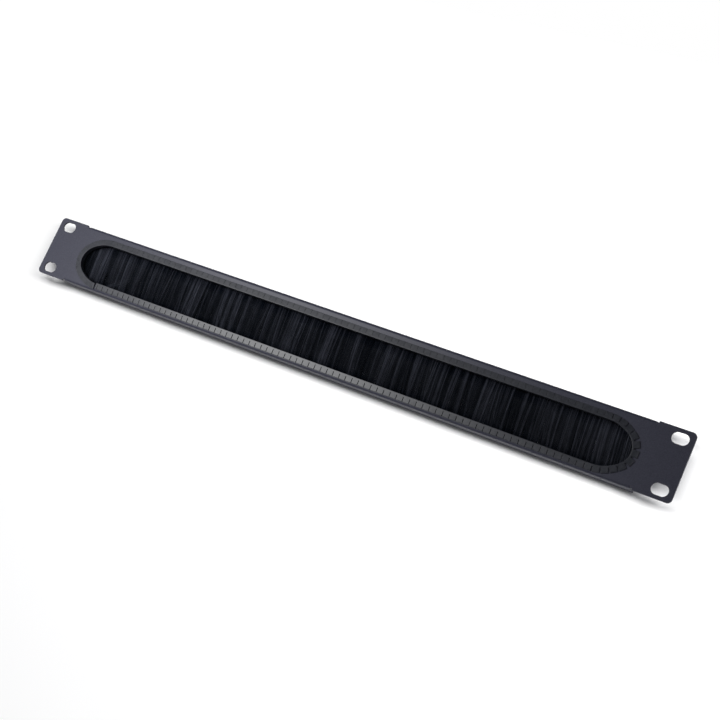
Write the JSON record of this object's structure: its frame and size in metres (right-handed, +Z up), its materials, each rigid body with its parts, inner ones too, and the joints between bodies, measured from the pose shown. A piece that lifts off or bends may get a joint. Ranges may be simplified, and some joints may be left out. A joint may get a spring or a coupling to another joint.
{
  "type": "rack brush strip panel",
  "caption": "One-unit steel rack panel with a long rounded cable opening, slotted plastic edging and a row of black bristles behind it.",
  "frame": {"origin": "centre of the four mounting slots, on the back face of the ears, where they meet the rack rails", "axes": "+X across the rack to the right seen from the front, +Y into the rack, +Z up"},
  "size_m": [0.4826, 0.0119, 0.0436],
  "materials": {
    "charcoal_powder_coat": "fine-textured charcoal powder coat, semi-matt",
    "black_nylon": "moulded black nylon with a soft sheen",
    "anodised_aluminium": "natural anodised extrusion",
    "zinc_plated_steel": "zinc-plated rolled strip and wire",
    "black_bristle": "fine black nylon filament",
    "black_zinc_screw": "black zinc"
  },
  "bodies": {
    "root": {"faceplate": "charcoal_powder_coat", "edge_grommet": "black_nylon", "brush_holder": "anodised_aluminium", "brush_channel": "zinc_plated_steel", "core_wire": "zinc_plated_steel", "bristles": "black_bristle", "holder_screws": "black_zinc_screw"}
  },
  "joints": []
}
